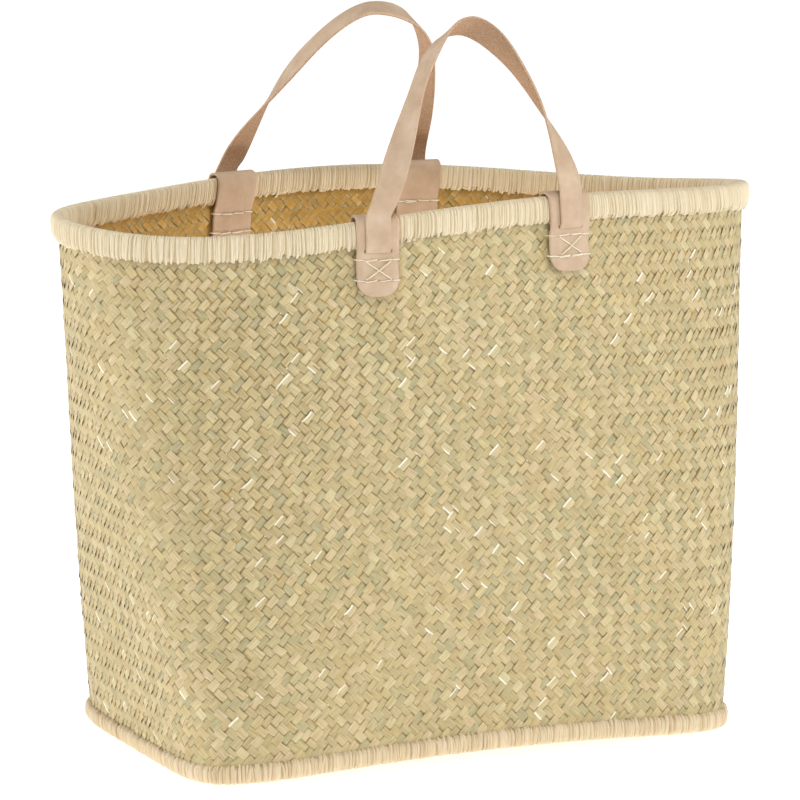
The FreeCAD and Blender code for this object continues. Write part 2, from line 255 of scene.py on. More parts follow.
def outline(psi, height):
    """Place on the outline: x/a, y/b and the half sizes, at a height from 0 at the base to 1 at the rim."""
    squareness = BASE_SQUARENESS * (MOUTH_SQUARENESS / BASE_SQUARENESS) ** height
    belly = np.sin(math.pi * np.clip(height, 0.0, 1.0))
    half_length = BASE_HALF_LENGTH + (MOUTH_HALF_LENGTH - BASE_HALF_LENGTH) * height + BELLY_LENGTH * belly
    half_width = BASE_HALF_WIDTH + (MOUTH_HALF_WIDTH - BASE_HALF_WIDTH) * height + BELLY_WIDTH * belly
    c, s = np.cos(psi), np.sin(psi)
    reach = (np.abs(c) ** squareness + np.abs(s) ** squareness) ** (-1.0 / squareness)
    return c * reach, s * reach, half_length, half_width, squareness


def arch(u):
    return BASE_ARCH * (1.0 - np.minimum(1.0, u * u))


def surface(psi, height):
    """Points on the middle of the wall and the outward normals in plan."""
    u, v, half_length, half_width, squareness = outline(psi, height)
    rim = WALL_HEIGHT - RIM_SIDE_TILT * u - RIM_END_DIP * (2.0 * u * u - 1.0) - RIM_FRONT_RISE * v
    rim = rim + RIM_FOURTH_WAVE * np.cos(4.0 * psi) - RIM_THIRD_WAVE * np.cos(3.0 * psi)
    rim = rim - RIM_SAG * np.sin(2.0 * psi)
    z = arch(u) * (1.0 - height) + rim * height
    nx = np.sign(u) * np.abs(u) ** (squareness - 1.0) / half_length
    ny = np.sign(v) * np.abs(v) ** (squareness - 1.0) / half_width
    points = np.stack([u * half_length, v * half_width + MOUTH_SHIFT * height, z + 0.0 * u], -1)
    return points, unit(np.stack([nx, ny, 0.0 * nx], -1))


class Wall:
    """The wall's surface by share of the way round, q, and height, with even steps at each height."""

    levels = 121
    around = 1440
    low = -0.01
    high = 1.02

    def __init__(self):
        psi = np.linspace(0.0, 2.0 * math.pi, 2 * self.around + 1)
        places, normals = [], []
        for height in np.linspace(self.low, self.high, self.levels):
            points, _ = surface(psi, height)
            steps = np.linalg.norm(np.diff(points[:, :2], axis=0), axis=1)
            length = np.concatenate([[0.0], np.cumsum(steps)])
            even = np.interp(np.linspace(0.0, length[-1], self.around + 1)[:-1], length, psi)
            points, out = surface(even, height)
            places.append(points)
            normals.append(out)
        self.places = np.array(places)
        self.normals = np.array(normals)

    def at(self, q, height):
        """Points and plan normals at arrays of q (any real, one turn is 1) and height."""
        share = (height - self.low) / (self.high - self.low)
        row = np.clip(share * (self.levels - 1), 0, self.levels - 1.001)
        column = np.mod(q, 1.0) * self.around
        r0 = np.floor(row).astype(int)
        c0 = np.floor(column).astype(int) % self.around
        c1 = (c0 + 1) % self.around
        fr = (row - r0)[..., None]
        fc = (column - np.floor(column))[..., None]

        def mix(table):
            low = table[r0, c0] * (1 - fc) + table[r0, c1] * fc
            high = table[r0 + 1, c0] * (1 - fc) + table[r0 + 1, c1] * fc
            return low * (1 - fr) + high * fr

        return mix(self.places), unit(mix(self.normals))


wall = Wall()


# ---- meshes

def add_attribute(mesh, name, kind, values):
    attribute = mesh.attributes.new(name, kind, "POINT")
    key = "vector" if kind == "FLOAT_VECTOR" else "value"
    attribute.data.foreach_set(key, np.ascontiguousarray(values, np.float32).ravel())


def add_object(name, data):
    thing = bpy.data.objects.new(name, data)
    bpy.context.scene.collection.objects.link(thing)
    return thing


def make_piece(name, verts, faces, material, body, grain=None, tint=None):
    mesh = bpy.data.meshes.new(name)
    mesh.from_pydata(np.asarray(verts).reshape(-1, 3).tolist(), [], faces)
    if grain is not None:
        add_attribute(mesh, "grain", "FLOAT_VECTOR", grain)
    if tint is not None:
        add_attribute(mesh, "tint", "FLOAT_VECTOR", tint)
    mesh.polygons.foreach_set("use_smooth", np.full(len(mesh.polygons), True))
    mesh.materials.append(material)
    piece = add_object(name, mesh)
    if body:
        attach(piece, body)
    return piece


def ribbons(centre, normal, half_width, across, crown):
    """Ribbons along axis 1 of centre; across and crown shape the section, in half widths and in metres."""
    tangent = unit(np.gradient(centre, axis=1))
    side = unit(np.cross(normal, tangent))
    up = unit(np.cross(tangent, side))
    width = np.asarray(half_width)[..., None, None]
    verts = centre[:, :, None, :] + side[:, :, None, :] * width * across[None, None, :, None]
    verts = verts + up[:, :, None, :] * crown[None, None, :, None]
    return verts


def distance_along(lines):
    """Distance from the start along each line of (lines, steps) points."""
    steps = np.diff(lines, axis=1, prepend=lines[:, :1])
    return np.cumsum(np.linalg.norm(steps, axis=2), axis=1)


def spread_over(shape, along, across, number):
    """Grain of (ribbons, steps, columns) points: distance along, place across and the ribbon's number."""
    grain = np.zeros(shape)
    grain[..., 0] = along[:, :, None]
    grain[..., 1] = across
    grain[..., 2] = np.reshape(number, (-1, 1, 1))
    return grain


def ribbon_faces(strips, steps, columns):
    counts = (strips, steps - 1, columns - 1)
    s, k, c = np.meshgrid(*[np.arange(count) for count in counts], indexing="ij")
    first = (s * steps + k) * columns + c
    quads = np.stack([first, first + columns, first + columns + 1, first + 1], -1)
    return quads.reshape(-1, 4).tolist()


# ---- materials

class Nodes:
    """Short hand for building a material's node tree."""

    def __init__(self, name):
        self.material = bpy.data.materials.new(name)
        self.material.use_nodes = True
        self.tree = self.material.node_tree
        self.shader = self.tree.nodes["Principled BSDF"]

    def add(self, kind, inputs=None, **settings):
        node = self.tree.nodes.new("ShaderNode" + kind)
        for key, value in settings.items():
            setattr(node, key, value)
        for key, value in (inputs or {}).items():
            self.put(node, key, value)
        return node

    def put(self, node, key, value):
        if isinstance(value, bpy.types.NodeSocket):
            self.tree.links.new(value, node.inputs[key])
        else:
            node.inputs[key].default_value = value

    def set(self, key, value):
        self.put(self.shader, key, value)

    def attribute(self, name):
        return self.add("Attribute", attribute_name=name).outputs["Vector"]

    def parts(self, vector):
        return self.add("SeparateXYZ", {0: vector}).outputs

    def maths(self, operation, a, b=0.0, c=0.0):
        return self.add("Math", {0: a, 1: b, 2: c}, operation=operation).outputs[0]

    def times(self, a, b):
        return self.maths("MULTIPLY", a, b)

    def scaled(self, vector, scale):
        return self.add("VectorMath", {0: vector, 1: scale}, operation="MULTIPLY").outputs[0]

    def noise(self, vector, scale, detail, rough=0.55):
        inputs = {"Vector": vector, "Scale": scale, "Detail": detail, "Roughness": rough}
        return self.add("TexNoise", inputs).outputs["Fac"]

    def ramp(self, value, stops):
        node = self.add("ValToRGB", {"Fac": value})
        elements = node.color_ramp.elements
        while len(elements) < len(stops):
            elements.new(0.5)
        for element, (place, *colour) in zip(elements, stops):
            element.position = place
            element.color = colour4(*colour)
        return node.outputs["Color"]

    def mix(self, share, a, b, blend_type="MIX"):
        node = self.add("Mix", {0: share, 6: a, 7: b}, data_type="RGBA", blend_type=blend_type)
        return node.outputs[2]

    def bump(self, height, strength, distance):
        inputs = {"Height": height, "Strength": strength, "Distance": distance}
        self.set("Normal", self.add("Bump", inputs).outputs["Normal"])


def colour4(r, g, b):
    """Linear colour and alpha from 0 to 255 display values."""
    values = [v / 255.0 for v in (r, g, b)]
    return (*[v / 12.92 if v <= 0.04045 else ((v + 0.055) / 1.055) ** 2.4 for v in values], 1.0)


def palm_material():
    """Grain is (along, across, strip); tint is (leaf tone, height of the weave, tone of this float)."""
    n = Nodes("palm_strip")
    grain = n.attribute("grain")
    tint = n.parts(n.attribute("tint"))
    across = n.parts(grain)["Y"]
    tone = n.maths("ADD", n.times(tint["X"], 0.7), n.times(tint["Z"], 0.3))
    base = n.ramp(tone, [
        (0.08, 140, 144, 118), (0.20, 158, 154, 118), (0.32, 176, 150, 100), (0.44, 178, 162, 124),
        (0.56, 200, 180, 126), (0.68, 206, 182, 152), (0.80, 214, 200, 154), (0.92, 226, 214, 176)])
    # Slow changes of colour along a strip.
    drift = n.noise(n.scaled(grain, (16.0, 0.2, 1.0)), 1.0, 2.0)
    drift_colour = n.ramp(drift, [(0.3, 158, 156, 118), (0.5, 206, 190, 142), (0.7, 214, 182, 138)])
    base = n.mix(0.38, base, drift_colour)
    # Fibres along the leaf.
    fibres = n.noise(n.scaled(grain, (60.0, 4.0, 1.0)), 1.0, 4.0, 0.65)
    fibre_colour = n.ramp(fibres, [(0.3, 136, 112, 66), (0.5, 204, 186, 136), (0.7, 240, 226, 184)])
    base = n.mix(0.42, base, fibre_colour)
    # Brown marks where a noise peaks.
    marks = n.noise(n.scaled(grain, (40.0, 1.3, 1.0)), 1.0, 2.0, 0.5)
    mark_share = n.times(n.maths("GREATER_THAN", marks, 0.72), 0.6)
    base = n.mix(mark_share, base, colour4(132, 92, 50))
    # Painted shade: dark where a strip dives between its neighbours, standing in for the shadow in the
    # crevice.
    dive = n.maths("MULTIPLY_ADD", n.maths("ABSOLUTE", tint["Y"]), -2.2, 1.0)
    crevice_shade_share = n.times(n.maths("MAXIMUM", dive, 0.0), 0.7)
    base = n.mix(crevice_shade_share, base, colour4(84, 62, 32))
    # Painted shade and bounce light: warmer and darker where the strip shows on the inside of the basket.
    inner = n.maths("MAXIMUM", n.times(tint["Y"], -1.0), 0.0)
    base = n.mix(inner, base, colour4(246, 214, 146), "MULTIPLY")
    # Painted highlight: on a few floats one edge is almost white, as if it caught the light.
    bright = n.maths("GREATER_THAN", tint["Z"], 0.962)
    edge = n.maths("GREATER_THAN", across, 0.55)
    painted_glint = n.times(n.times(bright, edge), 0.75)
    base = n.mix(painted_glint, base, colour4(255, 250, 232))
    n.set("Base Color", base)
    n.set("Roughness", n.maths("MULTIPLY_ADD", fibres, 0.25, 0.42))
    n.set("Specular IOR Level", 0.32)
    n.bump(fibres, 0.45, 0.0003)
    return n.material


def raffia_material(name, low, middle, high):
    n = Nodes(name)
    grain = n.attribute("grain")
    tint = n.parts(n.attribute("tint"))
    base = n.ramp(tint["X"], [(0.0, *low), (0.35, *middle), (0.8, *high), (1.0, *high)])
    fibres = n.noise(n.scaled(grain, (60.0, 3.2, 1.0)), 1.0, 4.0, 0.6)
    lines = n.ramp(fibres, [(0.3, *low), (0.5, *middle), (0.66, *high)])
    base = n.mix(0.45, base, lines)
    n.set("Base Color", base)
    n.set("Roughness", n.maths("MULTIPLY_ADD", fibres, 0.2, 0.5))
    n.set("Specular IOR Level", 0.3)
    n.set("Sheen Weight", 0.15)
    n.bump(fibres, 0.5, 0.0004)
    return n.material


def leather_material():
    """Leather by the tint's first number: the smooth side at 1, the cut edge at 0 and suede at -1."""
    n = Nodes("natural_leather")
    place = n.add("TexCoord").outputs["Object"]
    side = n.parts(n.attribute("tint"))["X"]
    cloud = n.noise(place, 55.0, 4.0, 0.6)
    pores = n.noise(place, 1500.0, 3.0, 0.6)
    fuzz = n.noise(place, 900.0, 5.0, 0.75)
    smooth_side = n.ramp(cloud, [(0.3, 196, 168, 140), (0.5, 208, 182, 154), (0.72, 220, 196, 170)])
    smooth_side = n.mix(n.times(pores, 0.3), smooth_side, colour4(170, 138, 108))
    suede = n.ramp(fuzz, [(0.3, 150, 116, 88), (0.5, 178, 144, 114), (0.7, 202, 170, 140)])
    edge = n.ramp(fuzz, [(0.3, 188, 150, 118), (0.7, 226, 196, 166)])
    share_grain = n.maths("SMOOTH_MIN", n.maths("MAXIMUM", side, 0.0), 1.0, 0.0)
    share_suede = n.maths("MAXIMUM", n.times(side, -1.0), 0.0)
    base = n.mix(share_grain, edge, smooth_side)
    base = n.mix(share_suede, base, suede)
    n.set("Base Color", base)
    n.set("Roughness", n.maths("MULTIPLY_ADD", share_grain, -0.25, 0.85))
    n.set("Specular IOR Level", 0.35)
    height = n.maths("ADD", n.times(pores, 0.5), n.times(fuzz, share_suede))
    n.bump(height, 0.35, 0.0003)
    return n.material


def bundle_material():
    n = Nodes("palm_bundle")
    place = n.add("TexCoord").outputs["Object"]
    fibres = n.noise(n.scaled(place, (90.0, 90.0, 700.0)), 1.0, 4.0, 0.6)
    n.set("Base Color", n.ramp(fibres, [(0.3, 120, 104, 62), (0.7, 196, 178, 122)]))
    n.set("Roughness", 0.7)
    n.bump(fibres, 0.6, 0.0005)
    return n.material


PALM = palm_material()
RIM_RAFFIA = raffia_material("rim_raffia", (180, 154, 110), (232, 216, 182), (242, 230, 202))
FOOT_RAFFIA = raffia_material("foot_raffia", (178, 148, 106), (222, 200, 162), (236, 220, 188))
THREAD = raffia_material("raffia_thread", (214, 194, 152), (240, 228, 196), (254, 250, 234))
LEATHER = leather_material()
BUNDLE = bundle_material()


# ---- plait

ACROSS = np.array([-1.0, -0.62, 0.62, 1.0])
CROWN = np.array([-0.2, 0.0, 0.0, -0.2]) * MM


def float_profile(row, first_over):
    """Height of a strip over two, under two: over at rows first_over and first_over + 1."""
    wave = np.cos((row - first_over - 0.5) * math.pi / 2.0)
    return np.sign(wave) * np.abs(wave) ** 0.6


def strip_tints(count, seed):
    """Tint of each strip: the upper strips of each pair are paler than the ones tucked between them."""
    random = rng(seed)
    pale = (np.arange(count) % 2 == 0) * 1.0
    return np.clip(0.22 + 0.42 * pale + 0.2 * random.standard_normal(count), 0.0, 1.0)


def per_float(values, rows, first_over):
    """Spread one value per float, given as (strips, floats), over the steps along each strip."""
    number = np.floor((rows - first_over + 2.5) / 4.0).astype(int) + 1
    return values[:, number]


def wall_strips(direction, first_over, seed):
    """All strips that lean one way, as (strips, steps, columns) points with grain and tint."""
    random = rng(seed)
    steps = STEPS_PER_ROW
    rows = np.arange(round(1.5 * steps), (CROSSING_ROWS - 2.5) * steps + 1) / steps
    index = np.arange(STRIPS_EACH_WAY)
    wander = 0.0
    for cycles, reach in WANDER_WAVES:
        phase = random.random(STRIPS_EACH_WAY)[:, None] * 2.0 * math.pi
        wander = wander + reach * np.sin(rows[None, :] / CROSSING_ROWS * cycles * 2.0 * math.pi + phase)
    q = (index[:, None] + direction * rows[None, :] / 2.0 + wander) / STRIPS_EACH_WAY
    height = np.broadcast_to(rows[None, :] / CROSSING_ROWS, q.shape)
    centre, out = wall.at(q, height)
    profile = float_profile(rows, first_over)[None, :]
    floats = (STRIPS_EACH_WAY, CROSSING_ROWS // 4 + 4)
    lift_share = per_float(random.standard_normal(floats), rows, first_over)
    lift = PLAIT_DEPTH * profile * (1.0 + FLOAT_LIFT_SPREAD * lift_share * np.abs(profile) ** 2)
    upper = np.where(index % 2 == 0, 1.0, -1.0)[:, None]
    lift = lift + UPPER_STRIP_LIFT * upper * profile
    centre = centre + out * lift[..., None]
    on_top = np.maximum(profile, 0.0) ** 2
    own_tilt = per_float(random.standard_normal(floats), rows, first_over) * on_top
    tilt = STRIP_TILT_SPREAD * random.standard_normal((STRIPS_EACH_WAY, 1)) + FLOAT_TILT_SPREAD * own_tilt
    tangent = unit(np.gradient(centre, axis=1))
    normal = unit(out + np.cross(tangent, out) * tilt[..., None])
    spread = per_float(random.standard_normal(floats), rows, first_over) * on_top
    own_width = UPPER_STRIP_WIDER * upper + STRIP_WIDTH_SPREAD * random.standard_normal((STRIPS_EACH_WAY, 1))
    width = STRIP_HALF_WIDTH * (1.0 + own_width + FLOAT_WIDTH_SPREAD * spread)
    verts = ribbons(centre, normal, width, ACROSS, CROWN)
    tones = per_float(random.random(floats), rows, first_over)
    grain = spread_over(verts.shape, distance_along(centre), ACROSS, index * STRIP_GRAIN_STEP + seed)
    tint = np.zeros(verts.shape)
    tint[..., 0] = strip_tints(STRIPS_EACH_WAY, seed + 1)[:, None, None]
    tint[..., 1] = profile[:, :, None]
    tint[..., 2] = tones[:, :, None]
    return verts, grain, tint


def plait_wall():
    share = STRIPS_EACH_WAY // STRIP_PIECES
    for label, direction, first_over, seed in (("rising", 1, 0, 11), ("falling", -1, 2, 23)):
        verts, grain, tint = wall_strips(direction, first_over, seed)
        for part in range(STRIP_PIECES):
            some = slice(part * share, (part + 1) * share)
            block = verts[some]
            faces = ribbon_faces(*block.shape[:3])
            name = f"wall_strips_{label}_{part + 1}"
            piece = make_piece(name, block, faces, PALM, "basket", grain[some], tint[some])
            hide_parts("wall_plait")


def plait_base():
    """The bottom panel's strips, cut where they reach the wall."""
    steps, reach = PANEL_STEPS, PANEL_REACH
    for label, lean, first_over, seed in (("right", 1, 0, 41), ("left", -1, 2, 53)):
        random = rng(seed)
        verts, grains, tints, faces = [], [], [], []
        start = 0
        tones = strip_tints(2 * reach + 1, seed)
        for number in range(-reach, reach + 1):
            rows = np.arange(-reach * steps, reach * steps + 1) / steps
            x = (number + lean * rows / 2.0) * PANEL_PITCH
            y = rows / 2.0 * PANEL_PITCH
            inside = (np.abs(x / (BASE_HALF_LENGTH - PANEL_GAP)) ** BASE_SQUARENESS
                      + np.abs(y / (BASE_HALF_WIDTH - PANEL_GAP)) ** BASE_SQUARENESS) < 1.0
            if inside.sum() < 3:
                continue
            rows, x, y = rows[inside], x[inside], y[inside]
            profile = float_profile(rows, first_over)
            z = arch(x / BASE_HALF_LENGTH) + PANEL_RISE + PLAIT_DEPTH * profile
            centre = np.stack([x, y, z], -1)[None]
            normal = np.broadcast_to(UP, centre.shape)
            own_width = 1.0 + STRIP_WIDTH_SPREAD * random.standard_normal()
            width = STRIP_HALF_WIDTH * own_width * np.ones((1, len(x)))
            block = ribbons(centre, normal, width, ACROSS, CROWN)
            quads = np.array(ribbon_faces(1, len(x), len(ACROSS))) + start
            start += block.size // 3
            along = (y * math.sqrt(2.0))[None]
            grain = spread_over(block.shape, along, ACROSS, number * STRIP_GRAIN_STEP + seed)
            tint = np.zeros(block.shape)
            tint[..., 0] = tones[number + reach]
            tint[..., 1] = profile[None, :, None]
            tint[..., 2] = random.random(reach)[(rows / 4.0).astype(int) + reach // 2][None, :, None]
            verts.append(block.reshape(-1, 3))
            grains.append(grain.reshape(-1, 3))
            tints.append(tint.reshape(-1, 3))
            faces += quads.tolist()
        piece = make_piece(f"base_strips_{label}", np.concatenate(verts), faces, PALM, "basket",
                           np.concatenate(grains), np.concatenate(tints))
        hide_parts("base_plait")


# ---- raffia bindings

STRAND_ACROSS = np.array([-1.0, -0.6, 0.0, 0.6, 1.0])
STRAND_CROWN = np.array([-0.75, -0.05, 0.26, -0.05, -0.75]) * MM


def strand_block(q, height, stand_off, half_width, seed):
    """Strands wound round an edge: q, height and stand-off are (strands, steps) arrays."""
    points, out = wall.at(q, height)
    centre = points + out * stand_off[..., None]
    around = np.cross(UP, out)
    tangent = unit(np.gradient(centre, axis=1))
    normal = unit(np.cross(around, tangent))
    verts = ribbons(centre, normal, np.maximum(half_width, LEAST_STRAND_HALF_WIDTH), STRAND_ACROSS,
                    STRAND_CROWN)
    number = np.arange(len(q)) * STRAND_GRAIN_STEP + seed
    grain = spread_over(verts.shape, distance_along(centre), STRAND_ACROSS, number)
    tint = np.zeros(verts.shape)
    tint[..., 0] = 0.25 + 0.65 * rng(seed + 5).random(len(q))[:, None, None]
    return verts, grain, tint


def under_layer(verts, grain, tint):
    """Add a closed layer just under the strands, so that nothing dark shows between them; its tint of 0 gives
    it the raffia's darkest colour, painted shade between the strands.
    """
    middle = STRAND_ACROSS.size // 2
    ring = verts[:, :, middle]
    centre = np.mean(ring, axis=1, keepdims=True)
    ring = ring + unit(centre - ring) * UNDER_LAYER_INSET
    start = verts.size // 3
    around, steps = ring.shape[:2]
    i, k = np.meshgrid(np.arange(around), np.arange(steps - 1), indexing="ij")
    j = (i + 1) % around
    first, second = i * steps + k, j * steps + k
    quads = np.stack([first, second, second + 1, first + 1], -1).reshape(-1, 4) + start
    faces = ribbon_faces(*verts.shape[:3]) + quads.tolist()
    # The layer's tint of 0 gives it the darkest raffia colour: painted shade between the strands.
    return (np.vstack([verts.reshape(-1, 3), ring.reshape(-1, 3)]), faces,
            np.vstack([grain.reshape(-1, 3), grain[:, :, middle].reshape(-1, 3)]),
            np.vstack([tint.reshape(-1, 3), tint[:, :, middle].reshape(-1, 3) * 0.0]))


def bind(name, node, material, shape, seed, strand_seed):
    """Raffia strands side by side round an edge, each a little different, over a closed layer."""
    random = rng(seed)
    count = shape["strands"]

    def spread(share):
        return share * random.standard_normal((count, 1))

    theta = np.radians(np.linspace(*shape["arc"]))[None, ::shape["turn"]]
    c, s = np.cos(theta), np.sin(theta)
    power = 2.0 / shape["power"]
    half_height = shape["half_height"] * (1.0 + spread(RAGGED_SPREAD) * shape["ragged"](s))
    half_thickness = shape["half_thickness"][0] * (1.0 + spread(shape["half_thickness"][1]))
    stand_off = shape["stand_off"] + np.sign(c) * np.abs(c) ** power * half_thickness
    height = shape["height"](np.sign(s) * np.abs(s) ** power * half_height)
    slant = shape["slant"][0] + spread(shape["slant"][1])
    jitter = spread(shape["jitter"])
    q = (np.arange(count)[:, None] + jitter + slant * (theta / math.pi - shape["phase"])) / count
    width = WAY_ROUND / count / 2.0 * (shape["width"][0] + spread(shape["width"][1])) * np.ones_like(q)
    verts, grain, tint = strand_block(q, height, stand_off, width, strand_seed)
    verts[..., 2] = np.maximum(verts[..., 2], 0.0)
    verts, faces, grain, tint = under_layer(verts, grain, tint)
    piece = make_piece(name, verts, faces, material, "basket", grain, tint)
    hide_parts(node)


# ---- leather

def curve_through(points, count):
    """Even samples of a smooth curve through a few points."""
    points = np.asarray(points, float)
    padded = np.vstack([2 * points[0] - points[1], points, 2 * points[-1] - points[-2]])
    fine = []
    for i in range(len(points) - 1):
        p0, p1, p2, p3 = padded[i:i + 4]
        t = np.linspace(0.0, 1.0, 24, endpoint=False)[:, None]
        fine.append(0.5 * (2 * p1 + (p2 - p0) * t + (2 * p0 - 5 * p1 + 4 * p2 - p3) * t ** 2
                           + (3 * p1 - p0 - 3 * p2 + p3) * t ** 3))
    fine = np.vstack(fine + [points[-1:]])
    length = np.concatenate([[0.0], np.cumsum(np.linalg.norm(np.diff(fine, axis=0), axis=1))])
    even = np.linspace(0.0, length[-1], count)
    return np.stack([np.interp(even, length, fine[:, k]) for k in range(fine.shape[1])], -1)


def sheet_mesh(middle, normal, thickness, holes=(), open_rows=()):
    """Sheet with bulging cut edges from a (rows, columns) grid.

    Holes are ranges of cells left out. Open rows are rows without a cut edge, where another piece goes on.
    """
    rows, columns = middle.shape[:2]
    count = rows * columns
    top = (middle + normal * thickness / 2.0).reshape(-1, 3)
    bottom = (middle - normal * thickness / 2.0).reshape(-1, 3)
    open_cells = np.zeros((rows - 1, columns - 1), bool)
    for r0, r1, c0, c1 in holes:
        open_cells[r0:r1, c0:c1] = True
    verts = [top, bottom]
    sides = [np.ones(count), -np.ones(count)]
    faces = []
    border = {}
    for r in range(rows - 1):
        for c in range(columns - 1):
            if open_cells[r, c]:
                continue
            first, second = r * columns + c, (r + 1) * columns + c
            corners = [first, second, second + 1, first + 1]
            faces.append(corners)
            faces.append([count + k for k in corners[::-1]])
            for a, b in zip(corners, corners[1:] + corners[:1]):
                if (b, a) in border:
                    del border[(b, a)]
                else:
                    border[(a, b)] = True
    border = [(a, b) for a, b in border
              if not (a // columns == b // columns and a // columns in open_rows)]
    flat = middle.reshape(-1, 3)
    up = normal.reshape(-1, 3)
    outward = {}
    for a, b in border:
        away = np.cross(flat[b] - flat[a], up[a])
        away = away / max(np.linalg.norm(away), 1e-12)
        outward[a] = outward.get(a, 0) + away
        outward[b] = outward.get(b, 0) + away
    bulge = {}
    edge_points = []
    for k, away in outward.items():
        bulge[k] = 2 * count + len(edge_points)
        edge_points.append(flat[k] + away / max(np.linalg.norm(away), 1e-9) * thickness * 0.22)
    verts.append(np.array(edge_points))
    sides.append(np.zeros(len(edge_points)))
    for a, b in border:
        faces.append([b, a, bulge[a], bulge[b]])
        faces.append([bulge[b], bulge[a], count + a, count + b])
    return np.vstack(verts), faces, np.concatenate(sides)


def leather_piece(name, middle, normal, thickness, body, holes=(), open_rows=()):
    verts, faces, sides = sheet_mesh(middle, normal, thickness, holes, open_rows)
    tint = np.zeros((len(verts), 3))
    tint[:, 0] = sides
    return make_piece(name, verts, faces, LEATHER, body, tint=tint)


class Station:
    """Upright frame at one tab, where its strap leaves the wall's rim."""

    def __init__(self, side_name, hand):
        self.side = LOOPS[side_name]["side"]
        self.name = f"{side_name}_{'left' if hand < 0 else 'right'}"
        self.half_width = LOOPS[side_name]["tab_widths"][0 if hand < 0 else 1] / 2.0
        low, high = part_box(self.name + "_strap_root")
        strap_x = (low.x + high.x) / 2.0
        angles = np.linspace(0.0, math.pi, 8001)[1:-1] * self.side
        points, out = surface(angles, 1.0)
        nearest = int(np.argmin(np.abs(points[:, 0] + out[:, 0] * STRAP_STAND_OFF - strap_x)))
        self.psi = angles[nearest]
        self.top = points[nearest]
        self.out = out[nearest]
        self.along = np.cross(self.out, UP) * -self.side
        if self.along[0] < 0:
            self.along = -self.along

    def drift(self, depth):
        height = 1.0 - np.maximum(depth, 0.0) / WALL_HEIGHT
        points, _ = surface(np.full(np.shape(depth), self.psi), height)
        return (points - self.top) @ self.out

    def point(self, along, stand_off, depth):
        """Points from arrays: along to the right, stand-off from the wall's middle, depth under the rim."""
        away = np.asarray(stand_off + self.drift(depth))[..., None] * self.out
        return self.top + np.asarray(along)[..., None] * self.along + away - np.asarray(depth)[..., None] * UP


STATIONS = {}
for side_name in LOOPS:
    for hand in (-1, 1):
        station = Station(side_name, hand)
        STATIONS[station.name] = station


def steps_with(marks, low, high, spacing):
    """Rising values from low to high that include the marks, with gaps of about the spacing."""
    stops = sorted(set([low, high] + [m for m in marks if low < m < high]))
    values = [stops[0]]
    for a, b in zip(stops[:-1], stops[1:]):
        pieces = max(1, int(round((b - a) / spacing)))
        values += list(np.linspace(a, b, pieces + 1)[1:])
    return np.array(values)


def pressed(along):
    """How far the outer leg is pressed down: 0 over the strap's end, 1 at its sides."""
    return smooth((np.abs(along) - PRESS_FROM) / PRESS_OVER)


def make_tab(station, seed):
    """Leather strip folded over the rim, slit for the strap and punched for the stitches."""
    random = rng(seed)
    w = station.half_width
    hole_marks = []
    for place in HOLE_PLACES:
        hole_marks += [place - HOLE_HALF, place + HOLE_HALF]
    columns = steps_with(hole_marks + [-SLIT_HALF_WIDTH, SLIT_HALF_WIDTH], -w, w, 1.6 * MM)
    fine = curve_through(TAB_PATH, 600)
    length = np.concatenate([[0.0], np.cumsum(np.linalg.norm(np.diff(fine, axis=0), axis=1))])
    half = length[-1] / 2.0

    def length_at(depth, inner):
        some = length > half if inner else length <= half
        return float(np.interp(depth, fine[some, 1] if inner else fine[some, 1][::-1],
                               length[some] if inner else length[some][::-1]))

    marks = []
    for row in (UPPER_ROW, LOWER_ROW):
        for depth in (row - HOLE_HALF, row + HOLE_HALF):
            marks += [length_at(depth, False), length_at(depth, True)]
    marks += [length_at(SLIT_TOP, False), length_at(SLIT_BOTTOM, False)]
    ends = [2.0 * MM, 4.0 * MM, 6.5 * MM, 9.5 * MM]
    rows = steps_with(marks + ends, 0.0, length[-1], 1.7 * MM)
    stand_off = np.interp(rows, length, fine[:, 0])
    depth = np.interp(rows, length, fine[:, 1])
    from_end = np.clip(TAB_CORNER - rows, 0.0, TAB_CORNER)
    half_width = w - TAB_CORNER + np.sqrt(np.maximum(TAB_CORNER ** 2 - from_end ** 2, 0.0))
    half_width = np.maximum(half_width, w - TAB_CORNER + TAB_TIP_SHRINK) / w
    x = columns[None, :] * half_width[:, None]
    inner_leg = rows > half
    for r in range(len(rows)):
        wave = 0.25 * MM * math.sin(rows[r] * 160.0 + seed) + 0.1 * MM * random.standard_normal()
        x[r, 0] += wave * 0.5
        x[r, -1] += wave * 0.5
    low_leg = smooth((depth - PRESS_TOP) / PRESS_FADE)
    press = pressed(x) * low_leg[:, None] * np.where(inner_leg, 0.0, 1.0)[:, None]
    stand_off_grid = stand_off[:, None] - PRESS * press
    depth_grid = np.broadcast_to(depth[:, None], x.shape)
    middle = station.point(x, stand_off_grid, depth_grid)
    along = np.gradient(middle, axis=0)
    across = np.gradient(middle, axis=1)
    normal = unit(np.cross(along, across)) * (1.0 if station.side < 0 else -1.0)
    if np.mean(normal[2, :, :] @ station.out) < 0:
        normal = -normal
    if np.mean(np.einsum("ij,ij->i", np.cross(along[2], across[2]), normal[2])) < 0:
        middle, normal = middle[:, ::-1], normal[:, ::-1]

    def cells(values, low, high):
        return int(np.argmin(np.abs(values - low))), int(np.argmin(np.abs(values - high)))

    c0, c1 = cells(columns, -SLIT_HALF_WIDTH, SLIT_HALF_WIDTH)
    r0, r1 = cells(rows, length_at(SLIT_BOTTOM, False), length_at(SLIT_TOP, False))
    holes = [(r0, r1, c0, c1)]
    for depth_mark in (UPPER_ROW, LOWER_ROW):
        for inner in (False, True):
            a = length_at(depth_mark - HOLE_HALF, inner)
            b = length_at(depth_mark + HOLE_HALF, inner)
            r0, r1 = cells(rows, min(a, b), max(a, b))
            for place in HOLE_PLACES:
                c0, c1 = cells(columns, place - HOLE_HALF, place + HOLE_HALF)
                holes.append((r0, r1, c0, c1))
    piece = leather_piece(station.name + "_tab_leather", middle, normal, TAB_THICKNESS, "basket", holes)
    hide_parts(station.name + "_tab")


